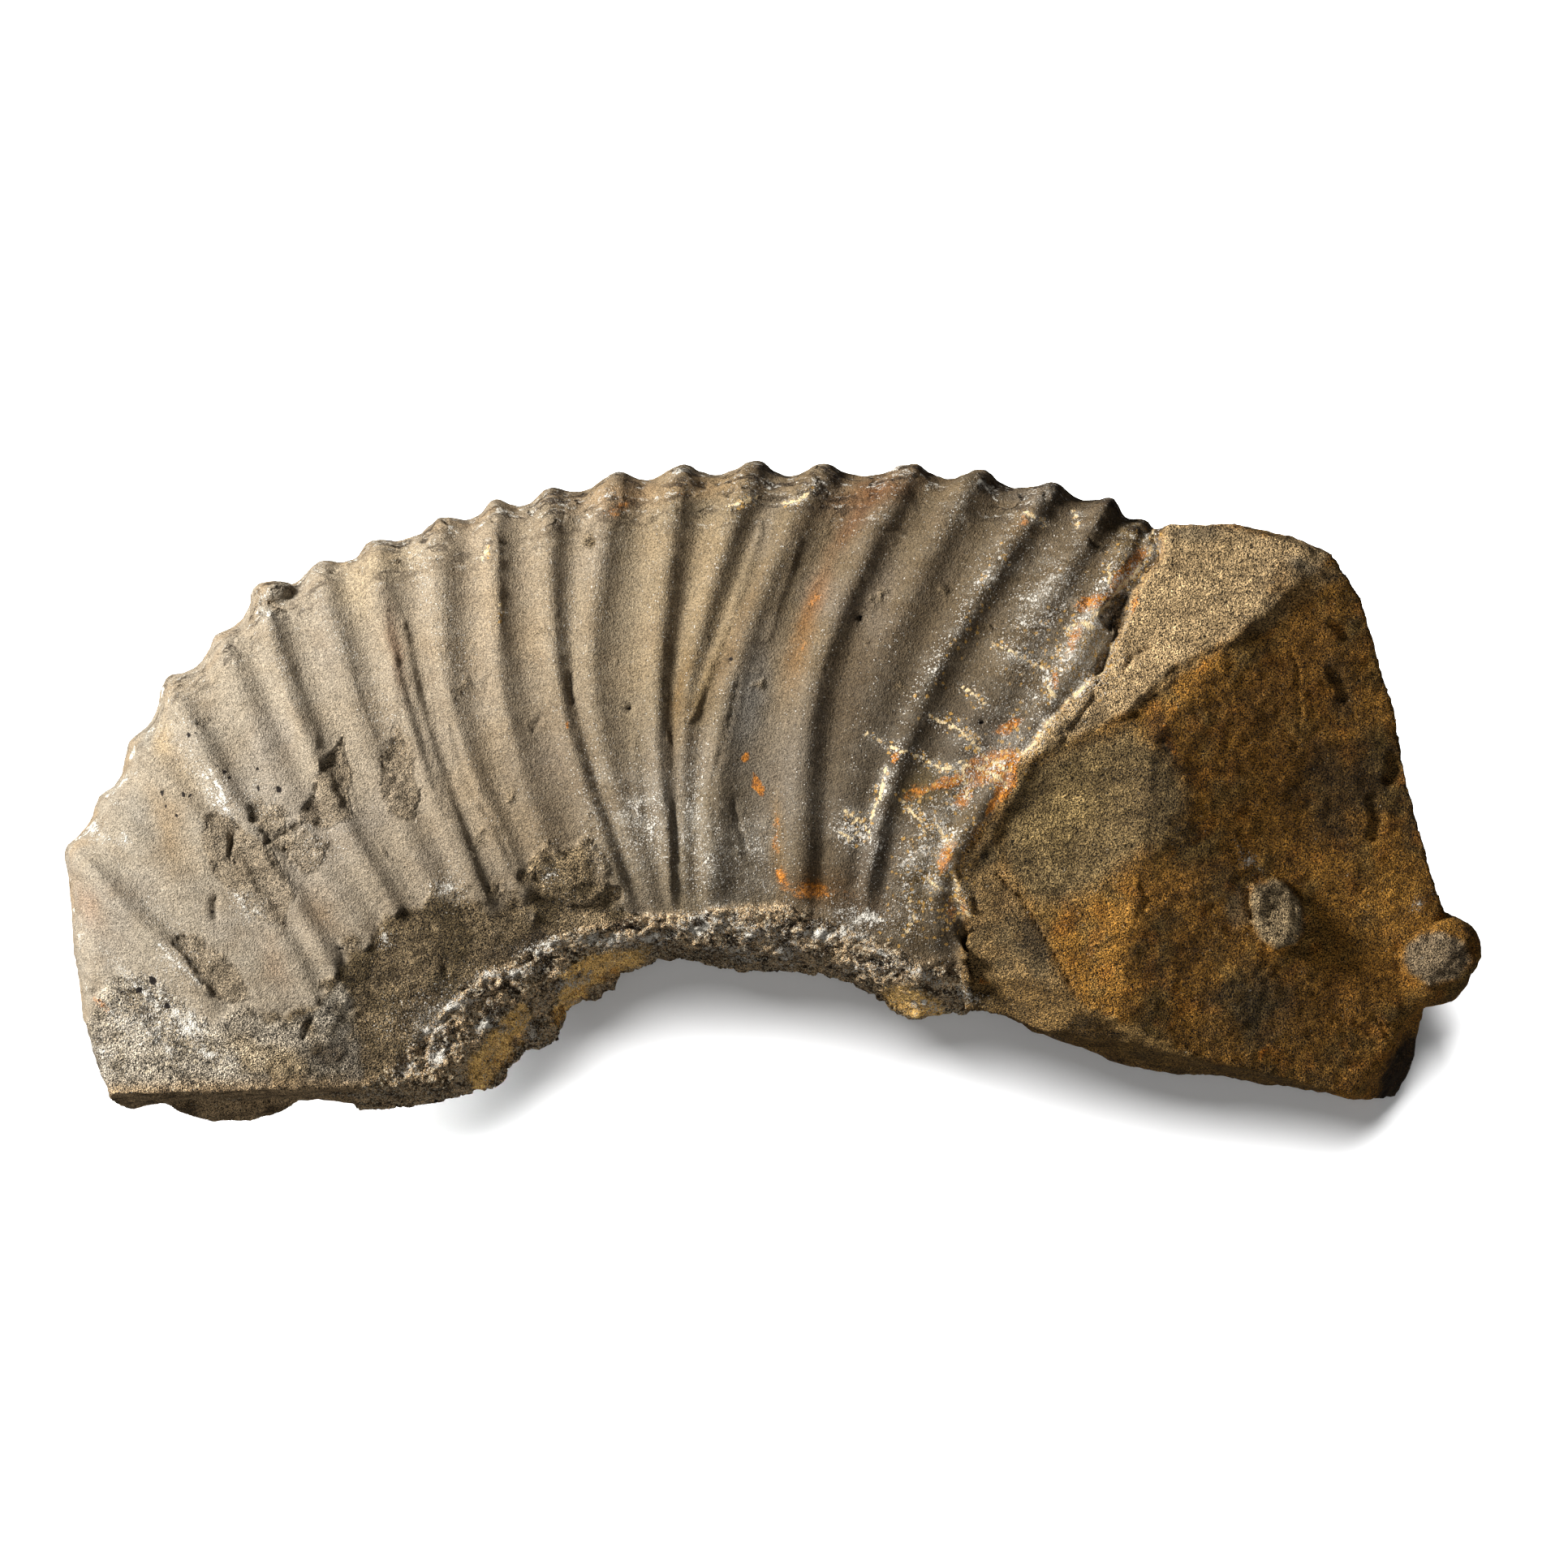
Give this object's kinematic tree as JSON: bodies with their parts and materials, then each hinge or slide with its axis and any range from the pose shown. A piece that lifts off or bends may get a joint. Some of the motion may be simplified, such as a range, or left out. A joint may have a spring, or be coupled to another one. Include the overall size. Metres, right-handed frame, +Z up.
{
  "type": "ammonite fossil section",
  "caption": "Curved section of a large ribbed ammonite whorl lying on its flank, with a broken block of brown matrix at its younger end and a crusted inner rim.",
  "frame": {"origin": "centre of the bounding box at the resting plane", "axes": "+X along the length, from the older broken foot to the younger matrix block; +Y towards the ribbed outer edge (the venter); +Z up, through the flank that faces the viewer"},
  "size_m": [0.4372, 0.2016, 0.1005],
  "materials": {
    "stone": "matt, rough, grey-beige on the ribbed flank and brown on the matrix"
  },
  "bodies": {
    "root": {"ammonite_section": "stone"}
  },
  "joints": []
}
